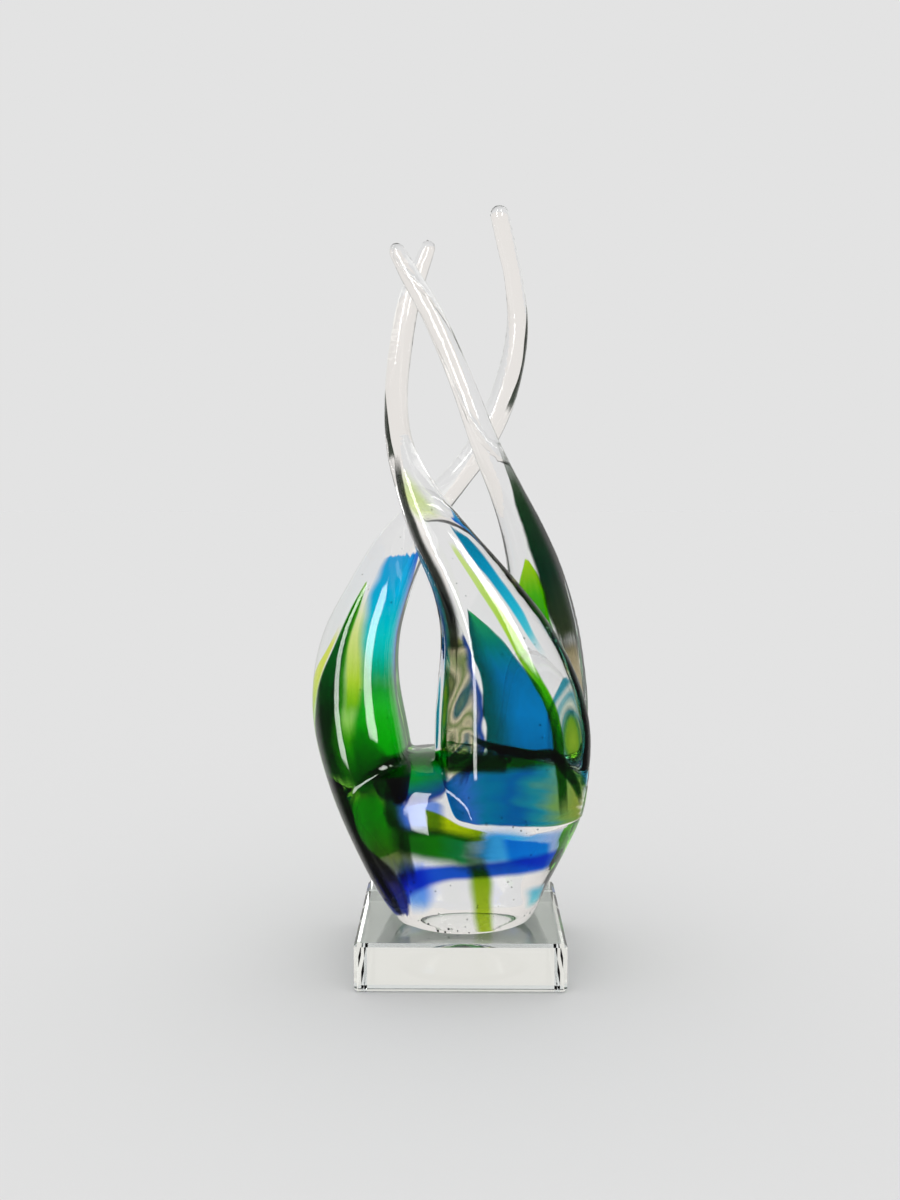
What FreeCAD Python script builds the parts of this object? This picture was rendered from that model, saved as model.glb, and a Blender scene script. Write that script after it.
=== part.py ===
"""A clear glass wave sculpture on a square crystal block.

Three clear arms swirl up out of a cup-shaped body. They turn clockwise, seen
from above, as they rise: the left arm passes behind, the front arm passes in
front to the left, and the right arm passes in front of both. Ribbons and
patches of coloured glass lie inside the clear glass, each in a hollow of its
own shape. The body stands on a polished block and is held to it by a thin
film of clear adhesive.

Millimetres and degrees, +Z up, +X to the right and +Y away from the viewer.
The origin is the centre of the block's underside.
"""

import FreeCAD, Part

import math
import os

from FreeCAD import Vector

# Block and adhesive
BLOCK_SIDE = 80.0
BLOCK_HEIGHT = 18.5
BLOCK_CHAMFER = 1.2
FILM_THICKNESS = 0.3
FILM_RADIUS = 26.5

# Clear glass: overall sizes above the film
GLASS_HEIGHT = 275.7
BODY_HALF_WIDTH = 50.8
BODY_HALF_DEPTH = 35.5
BODY_HEIGHT_SHARE = 0.2394
BODY_HEIGHT = BODY_HEIGHT_SHARE * GLASS_HEIGHT
BODY_SHIFT = 1.5
SWAY = 56.0
SWING = 38.0

# Radii of the arms, at the tip and where each foot is widest
LEFT_TIP_RADIUS = 3.8
FRONT_TIP_RADIUS = 3.1
RIGHT_TIP_RADIUS = 3.2
LEFT_FOOT_RADIUS = 18.5
FRONT_FOOT_RADIUS = 29.3
RIGHT_FOOT_RADIUS = 18.0
FRONT_FOOT_THICKNESS = 15.1
TIP_SWELL_SHARE = 1.06

FOOT_LEVEL = BLOCK_HEIGHT + FILM_THICKNESS
ARM_HOMES = ("left", "front", "right")
SKIN_SIDES = 14
WEDGE_GROWTH_SHARE = 3.0
RIBBON_END_SHARE = 0.4

# A ribbon's section: how far across it, and how far out or in from its middle
LENS_SHARES = [
    (0.00, 0.0), (0.22, 0.8), (0.50, 1.0), (0.78, 0.8),
    (1.00, 0.0), (0.78, -0.8), (0.50, -1.0), (0.22, -0.8),
]

# Sections of the arms where they are thick: corners across and away, and how
# round each one is
LEFT_CORNER_SHARES = [
    (-1.00, 0.00, 1.0), (-0.65, -0.95, 1.0), (0.25, -1.00, 1.0), (0.82, -0.75, 0.5),
    (1.00, 0.45, 0.5), (0.30, 1.00, 1.0), (-0.65, 0.95, 1.0),
]
FRONT_CORNER_SHARES = [
    (-1.00, 0.40, 0.4), (-0.80, -0.62, 0.5), (-0.46, -1.00, 0.35), (0.45, -1.00, 1.0),
    (1.00, -0.20, 0.8), (0.75, 0.85, 1.0), (-0.35, 1.00, 1.0),
]
RIGHT_CORNER_SHARES = [
    (-1.00, 0.10, 0.8), (-0.70, -0.85, 1.0), (0.30, -1.00, 0.35), (0.80, -0.30, 0.6),
    (1.00, 0.35, 0.4), (0.50, 1.00, 1.0), (-0.60, 0.90, 1.0),
]
SQUARE_CORNER_SHARES = [(-1.0, -1.0, 1.0), (1.0, -1.0, 1.0), (1.0, 1.0, 1.0), (-1.0, 1.0, 1.0)]

# Body outline: height, half width, half depth, sideways shift
BODY_SHARES = [
    (0.000, 0.530, 0.785, 1.00),
    (0.030, 0.585, 0.845, 0.80),
    (0.170, 0.675, 0.895, 0.45),
    (0.380, 0.825, 0.960, 0.20),
    (0.600, 0.955, 1.000, 0.20),
    (0.780, 0.985, 0.965, 0.10),
    (0.900, 0.865, 0.800, -0.20),
    (0.975, 0.560, 0.480, -0.40),
    (1.000, 0.240, 0.190, -0.40),
]

# Arm routes: across, depth, height, half width, half thickness. The first two
# are shares of SWAY and SWING, the height is a share of GLASS_HEIGHT, and the
# widths grow from 0 at the tip radius to 1 at the foot radius.
LEFT_ARM_SHARES = [
    (-0.240, -0.22, 0.000, 0.42, 0.56),
    (-0.368, -0.17, 0.041, 0.55, 0.72),
    (-0.488, -0.09, 0.100, 0.73, 0.90),
    (-0.608, -0.02, 0.175, 0.91, 1.05),
    (-0.704, 0.00, 0.262, 1.00, 1.10),
    (-0.744, 0.02, 0.338, 0.90, 0.97),
    (-0.704, 0.08, 0.405, 0.77, 0.80),
    (-0.583, 0.18, 0.468, 0.59, 0.60),
    (-0.432, 0.36, 0.530, 0.44, 0.42),
    (-0.240, 0.53, 0.583, 0.25, 0.24),
    (-0.045, 0.64, 0.625, 0.13, 0.13),
    (0.155, 0.70, 0.680, 0.12, 0.12),
    (0.320, 0.67, 0.755, 0.11, 0.11),
    (0.405, 0.54, 0.840, 0.05, 0.05),
    (0.375, 0.40, 0.910, 0.00, 0.00),
    (0.320, 0.29, 0.957, 0.00, 0.00),
    (0.268, 0.21, 1.000, 0.00, 0.00),
]
FRONT_ARM_SHARES = [
    (0.372, -0.500, 0.146, 0.66, 0.70),
    (0.362, -0.545, 0.153, 0.82, 0.88),
    (0.352, -0.575, 0.166, 0.93, 0.97),
    (0.350, -0.60, 0.225, 1.01, 1.00),
    (0.348, -0.61, 0.290, 1.01, 0.95),
    (0.316, -0.64, 0.355, 0.89, 0.86),
    (0.232, -0.67, 0.420, 0.68, 0.74),
    (0.072, -0.71, 0.484, 0.455, 0.58),
    (-0.125, -0.69, 0.547, 0.30, 0.42),
    (-0.300, -0.56, 0.610, 0.17, 0.28),
    (-0.417, -0.34, 0.672, 0.09, 0.18),
    (-0.450, -0.08, 0.737, 0.06, 0.14),
    (-0.430, 0.14, 0.805, 0.06, 0.13),
    (-0.365, 0.32, 0.885, 0.05, 0.09),
    (-0.235, 0.38, 0.958, 0.00, 0.00),
]
RIGHT_ARM_SHARES = [
    (0.470, 0.30, 0.080, 0.60, 0.60),
    (0.590, 0.46, 0.190, 1.02, 0.84),
    (0.626, 0.50, 0.280, 1.00, 0.82),
    (0.622, 0.46, 0.360, 0.86, 0.72),
    (0.592, 0.38, 0.427, 0.72, 0.61),
    (0.528, 0.21, 0.494, 0.53, 0.49),
    (0.435, 0.04, 0.552, 0.36, 0.36),
    (0.312, -0.13, 0.610, 0.23, 0.24),
    (0.165, -0.30, 0.675, 0.16, 0.16),
    (-0.005, -0.39, 0.765, 0.10, 0.10),
    (-0.179, -0.37, 0.846, 0.08, 0.08),
    (-0.330, -0.32, 0.900, 0.05, 0.05),
    (-0.434, -0.27, 0.938, 0.00, 0.00),
]

# Coloured glass: home, depth and half thickness as shares of the home's radius,
# then rows from its start to its end. Each row has the place of one edge and of
# the other: the row number in the home's table and the angle, which is -90 at
# the front, 0 at the right and -180 at the left
RIBBON_SHARES = {
    "green_leaf_left": ("left", 0.90, 0.030, [
        (6.61, -123, 6.59, -114), (6.37, -125, 6.33, -107), (5.71, -139, 5.6, -108), (4.8, -178, 4.84, -112),
        (4.1, -166, 4.11, -115), (3.6, -160, 3.59, -116), (3.1, -172, 3.24, -105),
    ]),
    "lime_veil_left": ("left", 0.78, 0.030, [
        (6.72, -111, 6.69, -102), (6.05, -117, 6.03, -86), (5.39, -114, 5.33, -76), (4.9, -113, 4.86, -74),
        (4.68, -110, 4.64, -74),
    ]),
    "cyan_ribbon_left": ("left", 0.90, 0.030, [
        (7.5, -99, 7.89, -43), (6.95, -95, 7.19, -8), (6.23, -87, 6.4, -1), (5.51, -80, 5.5, -1),
        (4.73, -78, 4.6, -1),
    ]),
    "green_ribbon_left": ("left", 0.66, 0.030, [
        (5.99, -80, 5.9, -1), (5.08, -77, 4.9, -1), (4.24, -85, 4, -1), (3.64, -82, 3.6, -1),
        (3.28, -58, 3.3, -1),
    ]),
    "green_fold_left": ("left", 0.78, 0.030, [
        (4.42, -110, 4.38, -71), (3.99, -114, 3.96, -68), (3.63, -107, 3.59, -59), (3.35, -96, 3.32, -52),
    ]),
    "violet_patch": ("left", 0.90, 0.030, [
        (3.24, -63, 2.93, -46), (3.33, -45, 2.9, -25), (3.2, -8, 2.9, -6),
    ]),
    "green_tongue": ("left", 0.78, 0.030, [
        (2.9, -160, 3.08, -99), (2.5, -172, 2.84, -62), (2.3, -126, 2.53, -53), (2.06, -104, 2.18, -62),
    ]),
    "smoke_core": ("left", 0.60, 0.040, [
        (2.9, -172, 2.76, -102), (2.3, -166, 2.23, -62), (1.6, -166, 1.56, -63), (1, -166, 0.96, -79),
        (0.6, -160, 0.46, -123),
    ]),
    "teal_core_front": ("front", 0.78, 0.030, [
        (6.54, -112, 6.51, -110), (5.71, -121, 5.71, -88), (4.83, -122, 4.87, -81), (3.94, -120, 3.99, -74),
    ]),
    "teal_foot_front": ("front", 0.78, 0.030, [
        (3.5, -170, 2.6, -166), (3.6, -146, 2.2, -148), (3.65, -118, 1.94, -121), (3.66, -90, 1.88, -89),
        (3.61, -65, 1.93, -62),
    ]),
    "green_stripe_front": ("front", 0.90, 0.030, [
        (7.92, -86, 7.93, -76), (6.7, -81, 6.73, -71), (5.46, -73, 5.52, -64), (4.37, -60, 4.44, -50),
        (3.37, -58, 3.39, -47), (2.5, -54, 2.52, -44),
    ]),
    "cyan_stripe_front": ("front", 0.90, 0.030, [
        (8.17, -62, 7.9, -34), (7.47, -61, 7.52, -34), (6.93, -60, 6.96, -39), (6.37, -61, 6.42, -42),
        (5.87, -61, 5.94, -53),
    ]),
    "teal_edge_front": ("front", 0.90, 0.030, [
        (6.27, -31, 6.3, -9), (5.53, -26, 5.6, -4), (4.73, -23, 4.8, -4), (4.01, -21, 4, -1),
        (3.33, -20, 3.3, -4),
    ]),
    "green_veil_front": ("front", 0.66, 0.030, [
        (3.49, -128, 3.33, -122), (3.51, -94, 3.3, -91), (3.42, -64, 3.2, -61), (3.32, -23, 3.06, -27),
        (2.9, -4, 2.6, -1), (2.4, -4, 2.2, -4),
    ]),
    "green_eye_front": ("front", 0.78, 0.030, [
        (4.2, -16, 4.2, -4), (3.94, -32, 3.9, -4), (3.65, -34, 3.6, -4), (3.32, -20, 3.3, -4),
    ]),
    "lime_wisp_front": ("front", 0.78, 0.030, [
        (9.43, -122, 9.37, -92), (9.05, -122, 9, -74), (8.73, -122, 8.6, -60), (8.44, -122, 8.33, -53),
    ]),
    "smoke_edge_front": ("front", 0.90, 0.030, [
        (8.7, -172, 8.65, -138), (8, -178, 7.94, -140), (7.1, -178, 7.09, -144), (6.2, -178, 6.17, -163),
    ]),
    "olive_swirl_front": ("front", 0.92, 0.020, [
        (5.5, -178, 5.63, -143), (4.7, -178, 4.84, -132), (4, -178, 4.11, -129), (3.3, -178, 3.46, -129),
        (2.8, -178, 2.9, -139),
    ]),
    "green_leaf_right": ("right", 0.78, 0.030, [
        (5.46, -114, 5.43, -108), (4.9, -142, 4.95, -99), (4.29, -158, 4.39, -88), (3.84, -143, 3.93, -82),
        (3.39, -119, 3.46, -87),
    ]),
    "green_core_right": ("right", 0.87, 0.030, [
        (7.4, -32, 7.4, -8), (6.78, -42, 6.6, -1), (5.75, -70, 5.6, -1), (4.67, -78, 4.6, -1),
        (3.75, -70, 3.7, -1),
    ]),
    "khaki_patch_right": ("right", 0.78, 0.030, [
        (3.38, -66, 3.3, -1), (2.85, -60, 2.8, -1), (2.39, -27, 2.4, -1),
    ]),
    "cobalt_band": ("body", 0.90, 0.030, [
        (2.9, -114, 2.32, -117), (3.06, -102, 2.5, -103), (3.18, -85, 2.57, -83), (3.25, -68, 2.68, -64),
        (3.18, -47, 2.56, -39), (2.9, -11, 2.6, -10),
    ]),
    "blue_patch": ("body", 0.78, 0.030, [
        (3.7, -66, 3.2, -36), (3.41, -61, 2.95, -34), (3.11, -55, 2.8, -38),
    ]),
    "green_patch": ("body", 0.78, 0.030, [
        (3.6, -116, 2.72, -116), (3.8, -111, 2.7, -111), (3.9, -103, 2.75, -101), (3.8, -86, 3.04, -83),
    ]),
    "lime_patch": ("body", 0.88, 0.025, [
        (4.5, -108, 4.24, -107), (4.34, -102, 4.03, -100), (4.08, -91, 3.88, -89), (3.98, -84, 3.88, -82),
    ]),
    "lime_stripe": ("body", 0.68, 0.030, [
        (2.97, -91, 2.95, -72), (2.43, -86, 2.39, -66), (1.88, -81, 1.8, -60), (1.18, -78, 1.04, -58),
    ]),
    "sky_veil": ("body", 0.56, 0.030, [
        (3.51, -113, 2.97, -111), (3.54, -89, 2.94, -88), (3.51, -64, 2.83, -58), (3.35, -38, 2.75, -34),
    ]),
    "teal_fade": ("body", 0.80, 0.030, [
        (2.4, -62, 2.4, -24), (1.95, -58, 1.95, -24), (1.5, -50, 1.5, -32),
    ]),
    "blue_fade_left": ("body", 0.78, 0.030, [
        (2.27, -122, 2.3, -99), (1.93, -123, 1.99, -104), (1.6, -121, 1.67, -111),
    ]),
}


def blend(first, last, share):
    """A row of numbers part of the way from one row to another."""
    return [a + (b - a) * share for a, b in zip(first, last)]


def rounded_outline(corners):
    """A closed outline with rounded corners, stretched to fill a square of half side 1."""
    points = []
    for k in range(SKIN_SIDES):
        place = (k + 0.5) * len(corners) / SKIN_SIDES
        low = int(place)
        share = place - low
        before, corner, after = (corners[(low + n) % len(corners)] for n in (-1, 0, 1))
        start = blend(corner[:2], before[:2], corner[2] / 2)
        end = blend(corner[:2], after[:2], corner[2] / 2)
        points.append(blend(blend(start, corner[:2], share), blend(corner[:2], end, share), share))
    for axis in (0, 1):
        low = min(point[axis] for point in points)
        high = max(point[axis] for point in points)
        for point in points:
            point[axis] = 2 * (point[axis] - low) / (high - low) - 1
    return points


def as_circle(outline):
    return [[u / math.hypot(u, v), v / math.hypot(u, v)] for u, v in outline]


class Station:
    """One level of a form: its centre, its directions, its size and its outline."""

    def __init__(self, centre, along, half_width, half_thickness, outline):
        self.centre = centre
        self.across = (Vector(1, 0, 0) - along * along.x).normalize()
        self.away = along.cross(self.across)
        self.half_width = half_width
        self.half_thickness = half_thickness
        self.outline = outline

    def place(self, u, v):
        return self.centre + self.across * (u * self.half_width) + self.away * (v * self.half_thickness)

    def skin(self):
        return closed_wire([self.place(u, v) for u, v in self.outline])

    def inside(self, angle, depth):
        """The point at an angle in degrees; depth 1 is the skin and 0 the centre."""
        ray = (math.cos(math.radians(angle)), math.sin(math.radians(angle)))
        for first, last in zip(self.outline, self.outline[1:] + self.outline[:1]):
            behind = ray[0] * first[1] - ray[1] * first[0]
            ahead = ray[0] * last[1] - ray[1] * last[0]
            if behind <= 0 < ahead and ray[0] * first[0] + ray[1] * first[1] > 0:
                u, v = blend(first, last, behind / (behind - ahead))
                return self.place(u * depth, v * depth)


def closed_wire(points):
    return Part.makePolygon(points + points[:1])


def facet(*corners):
    return Part.Face(closed_wire(list(corners)))


def faceted_lens(rings):
    """A closed solid of flat facets; each ring runs out along one face and back along the other."""
    half = len(rings[0]) // 2
    facets = []
    for low, high in zip(rings, rings[1:]):
        for k in range(2 * half):
            nxt = (k + 1) % (2 * half)
            if k < half:
                facets += [facet(low[k], low[nxt], high[nxt]), facet(low[k], high[nxt], high[k])]
            else:
                facets += [facet(low[k], low[nxt], high[k]), facet(low[nxt], high[nxt], high[k])]
    for ring in (rings[0][:1] + rings[0][:0:-1], rings[-1]):
        facets += [facet(ring[k], ring[k + 1], ring[-k - 1]) for k in range(half - 1)]
        facets += [facet(ring[k], ring[-k - 1], ring[-k]) for k in range(1, half)]
    solid = Part.makeSolid(Part.makeShell(facets))
    return solid if solid.Volume > 0 else faceted_lens([ring[:1] + ring[:0:-1] for ring in rings])


class Arm:
    """An arm's route and widths, from its table of shares."""

    def __init__(self, shares, tip_radius, foot_radius, foot_thickness, corners):
        self.shares = shares
        self.tip_radius = tip_radius
        self.foot_radius = foot_radius
        self.foot_thickness = foot_thickness
        self.wedge = rounded_outline(corners)

    def centre(self, row):
        across, depth, height = row[:3]
        return Vector(across * SWAY, depth * SWING, FOOT_LEVEL + height * GLASS_HEIGHT)

    def station(self, position):
        """The level at a row number, which may lie between two rows."""
        low = min(int(position), len(self.shares) - 2)
        row = blend(self.shares[low], self.shares[low + 1], position - low)
        before = self.centre(self.shares[max(low - 1, 0)])
        after = self.centre(self.shares[min(low + 2, len(self.shares) - 1)])
        wide, thick = row[3], row[4]
        level = min(wide, 1)
        upright = max(level, 1 - position)
        along = Vector(0, 0, 1) * upright + (after - before).normalize() * (1 - upright)
        half_width = self.tip_radius + wide * (self.foot_radius - self.tip_radius)
        half_thickness = self.tip_radius + thick * (self.foot_thickness - self.tip_radius)
        sharpness = min(WEDGE_GROWTH_SHARE * level, 1)
        outline = [blend(*pair, sharpness) for pair in zip(as_circle(self.wedge), self.wedge)]
        return Station(self.centre(row), along.normalize(), half_width, half_thickness, outline)

    def solid(self):
        """A loft from the foot to the tip, closed by a melted bead."""
        count = len(self.shares)
        stem = Part.makeLoft([self.station(k).skin() for k in range(count)], True, False)
        return stem.fuse(Part.makeSphere(self.tip_radius * TIP_SWELL_SHARE, self.centre(self.shares[-1])))


class Body:
    """The cup: level ovals, flat below and domed above."""

    def station(self, position):
        low = min(int(position), len(BODY_SHARES) - 2)
        height, wide, deep, shift = blend(BODY_SHARES[low], BODY_SHARES[low + 1], position - low)
        centre = Vector(shift * BODY_SHIFT, 0, FOOT_LEVEL + height * BODY_HEIGHT)
        oval = as_circle(rounded_outline(SQUARE_CORNER_SHARES))
        return Station(centre, Vector(0, 0, 1), wide * BODY_HALF_WIDTH, deep * BODY_HALF_DEPTH, oval)

    def solid(self):
        """The cup in straight-sided bands, so that the arms' grooves in it stay light."""
        return Part.makeLoft([self.station(k).skin() for k in range(len(BODY_SHARES))], True, True)


def ribbon(home, depth, thickness, rows):
    """Coloured glass inside an arm or the body: a faceted lens through its rows."""
    rings = []
    for k, (first, first_angle, last, last_angle) in enumerate(rows):
        swell = RIBBON_END_SHARE if k in (0, len(rows) - 1) else 1
        ring = []
        for across, out in LENS_SHARES:
            position, angle = blend((first, first_angle), (last, last_angle), across)
            ring.append(home.station(position).inside(angle, depth + out * thickness * swell))
        rings.append(ring)
    return faceted_lens(rings)


def around(clear_glass, held):
    """The clear glass with a sealed hollow round each solid that it holds."""
    skin = clear_glass.Solids[0].OuterShell
    hollows = [solid.OuterShell.reversed() for solid in held]
    return Part.makeSolid(Part.makeCompound([skin] + hollows))


def crystal_block():
    half = BLOCK_SIDE / 2
    block = Part.makeBox(BLOCK_SIDE, BLOCK_SIDE, BLOCK_HEIGHT, Vector(-half, -half, 0))
    return block.makeChamfer(BLOCK_CHAMFER, block.Edges)


def adhesive_film():
    return Part.makeCylinder(FILM_RADIUS, FILM_THICKNESS, Vector(BODY_SHIFT, 0, BLOCK_HEIGHT))


def save(name, shape):
    shape.exportStep(os.path.join("parts", name + ".step"))
    print(name, "solids", len(shape.Solids), "valid", shape.isValid(), "volume", round(shape.Volume, 1))


os.makedirs("parts", exist_ok=True)

homes = {
    "left": Arm(LEFT_ARM_SHARES, LEFT_TIP_RADIUS, LEFT_FOOT_RADIUS, LEFT_FOOT_RADIUS, LEFT_CORNER_SHARES),
    "front": Arm(
        FRONT_ARM_SHARES, FRONT_TIP_RADIUS, FRONT_FOOT_RADIUS, FRONT_FOOT_THICKNESS, FRONT_CORNER_SHARES,
    ),
    "right": Arm(
        RIGHT_ARM_SHARES, RIGHT_TIP_RADIUS, RIGHT_FOOT_RADIUS, RIGHT_FOOT_RADIUS, RIGHT_CORNER_SHARES,
    ),
    "body": Body(),
}
ribbons = {name: ribbon(homes[row[0]], *row[1:]) for name, row in RIBBON_SHARES.items()}
clear = {home: homes[home].solid() for home in homes}
for home in ARM_HOMES:
    clear["body"] = clear["body"].cut(clear[home])

save("crystal_block", crystal_block())
save("adhesive_film", adhesive_film())
for home, shape in clear.items():
    held = [ribbons[name] for name, row in RIBBON_SHARES.items() if row[0] == home]
    save("body" if home == "body" else home + "_arm", around(shape, held))
for name, shape in ribbons.items():
    save(name, shape)
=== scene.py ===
import math
import random

import bmesh
import bpy
from mathutils import Matrix, Vector


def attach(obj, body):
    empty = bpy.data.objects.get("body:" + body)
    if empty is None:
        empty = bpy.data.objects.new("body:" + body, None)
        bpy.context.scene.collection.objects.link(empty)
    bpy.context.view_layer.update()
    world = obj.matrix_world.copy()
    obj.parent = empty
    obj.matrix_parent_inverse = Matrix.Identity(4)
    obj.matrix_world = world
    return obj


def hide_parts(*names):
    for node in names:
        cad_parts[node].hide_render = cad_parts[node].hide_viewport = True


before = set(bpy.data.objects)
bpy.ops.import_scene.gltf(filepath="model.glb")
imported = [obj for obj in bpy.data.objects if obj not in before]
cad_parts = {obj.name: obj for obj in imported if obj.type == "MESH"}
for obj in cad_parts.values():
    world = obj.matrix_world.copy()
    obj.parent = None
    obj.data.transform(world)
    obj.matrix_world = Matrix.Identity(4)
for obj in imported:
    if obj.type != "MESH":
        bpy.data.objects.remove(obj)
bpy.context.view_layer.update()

# Sizes in metres, close to those of the construction
FOOT_LEVEL = 0.0188
GLASS_HEIGHT = 0.2757
SWAY = 0.056
SWING = 0.038
BODY_HALF_WIDTH = 0.0503
BODY_HALF_DEPTH = 0.0355
BODY_HEIGHT = 0.0660
BODY_SHIFT = 0.0015

# Arms: radius at the tip, half width and half thickness at the foot
LEFT_SIZES = (0.0038, 0.0185, 0.0185)
FRONT_SIZES = (0.0031, 0.0293, 0.0151)
RIGHT_SIZES = (0.0032, 0.0180, 0.0180)

# How soon an arm's round tip turns to a wedge, and how many rows before and after a level give
# its direction
WEDGE_GROWTH = 3.0
DIRECTION_STEP = 0.5

# Making of the clear glass
ROUND_POINTS = 56
STEPS_PER_ROW = 5
CAP_RINGS = 7
REMESH_SIZE = 0.00095
POLISH = 0.5
POLISH_STEPS = 8

# Seat of the glass in the block, and the bond between the two
SEAT_HEIGHT = 0.0015
SEAT_STRETCH = 0.9
BOND_RADIUS = 0.0222
BOND_BOTTOM = 0.01852
BOND_TOP = 0.01878

# Making of the coloured glass: points along and around each piece, and its thinnest end
VEIL_RINGS = 36
VEIL_POINTS = 24
VEIL_END = 0.01

# How much glass bends light; coloured glass lies in clear glass and bends it no further
GLASS_INDEX = 1.5
WITHIN_GLASS = 1.0

# Patterns in the glass: their sizes, and how far they shift a rim or a colour
RIPPLE_SCALE = 38.0
RIPPLE_STRENGTH = 0.25
RIPPLE_HEIGHT = 0.0012
CLOUD_SCALE = 42.0
STREAK_SCALE = (9.0, 0.9, 1.0)
SIDE_WAVES = 0.38
END_STREAKS = 0.14
END_WAVES = 0.22
COLOUR_STREAKS = 0.22
RING_WAVES = 0.35
SWIRL_TWIST = 1.4
SWIRL_LOW = 0.25

# Output of the Texture Coordinate node that gives a point's place in the object
OBJECT_PLACE = 3

# Finishes of one colour
WHITE = (1.0, 1.0, 1.0)
CRYSTAL_TINT = (0.955, 0.985, 0.965)
POOL_TINT = (0.0, 0.28, 0.03)
SPECK_TINT = (0.01, 0.012, 0.01)
SPECK_ROUGHNESS = 0.6

# Floor and backdrop
BACKDROP = (0.768, 0.768, 0.768)
FLOOR_SIZE = 8.0
FLOOR_LEVEL = -0.0002
FLOOR_ROUGHNESS = 0.9

# What clear glass shows of the studio. Each pair is where a change starts and ends: as an angle
# from straight behind the sculpture for TO_FRONT, FLAG_START, FLAG_END and the sides of a soft box,
# as the part of a direction that points right for TO_RIGHT, or back for ROOM_TURN and
# LOW_WALL_SIDES, and as the part that points up for the rest
BEHIND = (0.83, 0.80, 0.77)
IN_FRONT = (0.50, 0.49, 0.47)
TO_FRONT = (105, 150)
LEFT_FLAG = (0.04, 0.04, 0.04)
RIGHT_FLAG = (0.22, 0.24, 0.25)
FLAG_START = (67, 80)
FLAG_END = (106, 120)
FLAG_TOP = (0.55, 0.8)
TO_RIGHT = (-0.1, 0.1)
SOFTBOX_THROUGH = (2.5, 2.5, 2.4)
SOFTBOX_MIRRORED = (12.0, 12.0, 11.8)
LEFT_SOFTBOX = (-157, -142, -0.30, 0.75)
RIGHT_SOFTBOX = (148, 164, 0.0, 0.6)
SOFTBOX_SIDE_EDGE = 1
SOFTBOX_END_EDGE = 0.02
ROOM_FRONT = (0.10, 0.10, 0.10)
ROOM_BACK = (0.55, 0.55, 0.54)
ROOM_TURN = (0.2, 0.7)
LOW_WALL = (0.92, 0.95, 0.88)
LOW_WALL_BOTTOM = (0.08, 0.16)
LOW_WALL_TOP = (0.32, 0.42)
LOW_WALL_SIDES = (0.80, 0.92)

# Light that comes off the floor meets plain white, and glass passes light on many times
OFF_FLOOR = (0.2, 0.8)
LIGHT_BOUNCES = 24

# Camera as fitted to the block's corners: place, tilt, turn to the left, and focal length in picture
# elements of a picture of the given height
CAMERA_PLACE = (0.00035, -0.5157, 0.19053)
CAMERA_TILT = 0.09
CAMERA_TURN = 0.009
CAMERA_NEAR = 0.01
FOCAL_LENGTH = 1311.0
PICTURE_HEIGHT = 1200.0
SENSOR = 36.0

# Body: height, half width, half depth, sideways shift
BODY_ROWS = [
    (0.000, 0.530, 0.785, 1.00),
    (0.030, 0.585, 0.845, 0.80),
    (0.170, 0.675, 0.895, 0.45),
    (0.380, 0.825, 0.960, 0.20),
    (0.600, 0.955, 1.000, 0.20),
    (0.780, 0.985, 0.965, 0.10),
    (0.900, 0.865, 0.800, -0.20),
    (0.975, 0.560, 0.480, -0.40),
    (1.000, 0.240, 0.190, -0.40),
]

# Arms: across, away, height, half width, half thickness
LEFT_ROWS = [
    (-0.240, -0.22, 0.000, 0.42, 0.56),
    (-0.368, -0.17, 0.041, 0.55, 0.72),
    (-0.488, -0.09, 0.100, 0.73, 0.90),
    (-0.608, -0.02, 0.175, 0.91, 1.05),
    (-0.704, 0.00, 0.262, 1.00, 1.10),
    (-0.744, 0.02, 0.338, 0.90, 0.97),
    (-0.704, 0.08, 0.405, 0.77, 0.80),
    (-0.583, 0.18, 0.468, 0.59, 0.60),
    (-0.432, 0.36, 0.530, 0.44, 0.42),
    (-0.240, 0.53, 0.583, 0.25, 0.24),
    (-0.045, 0.64, 0.625, 0.13, 0.13),
    (0.155, 0.70, 0.680, 0.12, 0.12),
    (0.320, 0.67, 0.755, 0.11, 0.11),
    (0.405, 0.54, 0.840, 0.05, 0.05),
    (0.375, 0.40, 0.910, 0.00, 0.00),
    (0.320, 0.29, 0.957, 0.00, 0.00),
    (0.268, 0.21, 1.000, 0.00, 0.00),
]
FRONT_ROWS = [
    (0.372, -0.500, 0.146, 0.66, 0.70),
    (0.362, -0.545, 0.153, 0.82, 0.88),
    (0.352, -0.575, 0.166, 0.93, 0.97),
    (0.350, -0.60, 0.225, 1.01, 1.00),
    (0.348, -0.61, 0.290, 1.01, 0.95),
    (0.316, -0.64, 0.355, 0.89, 0.86),
    (0.232, -0.67, 0.420, 0.68, 0.74),
    (0.072, -0.71, 0.484, 0.455, 0.58),
    (-0.125, -0.69, 0.547, 0.30, 0.42),
    (-0.300, -0.56, 0.610, 0.17, 0.28),
    (-0.417, -0.34, 0.672, 0.09, 0.18),
    (-0.450, -0.08, 0.737, 0.06, 0.14),
    (-0.430, 0.14, 0.805, 0.06, 0.13),
    (-0.365, 0.32, 0.885, 0.05, 0.09),
    (-0.235, 0.38, 0.958, 0.00, 0.00),
]
RIGHT_ROWS = [
    (0.470, 0.30, 0.080, 0.60, 0.60),
    (0.590, 0.46, 0.190, 1.02, 0.84),
    (0.626, 0.50, 0.280, 1.00, 0.82),
    (0.622, 0.46, 0.360, 0.86, 0.72),
    (0.592, 0.38, 0.427, 0.72, 0.61),
    (0.528, 0.21, 0.494, 0.53, 0.49),
    (0.435, 0.04, 0.552, 0.36, 0.36),
    (0.312, -0.13, 0.610, 0.23, 0.24),
    (0.165, -0.30, 0.675, 0.16, 0.16),
    (-0.005, -0.39, 0.765, 0.10, 0.10),
    (-0.179, -0.37, 0.846, 0.08, 0.08),
    (-0.330, -0.32, 0.900, 0.05, 0.05),
    (-0.434, -0.27, 0.938, 0.00, 0.00),
]

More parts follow.
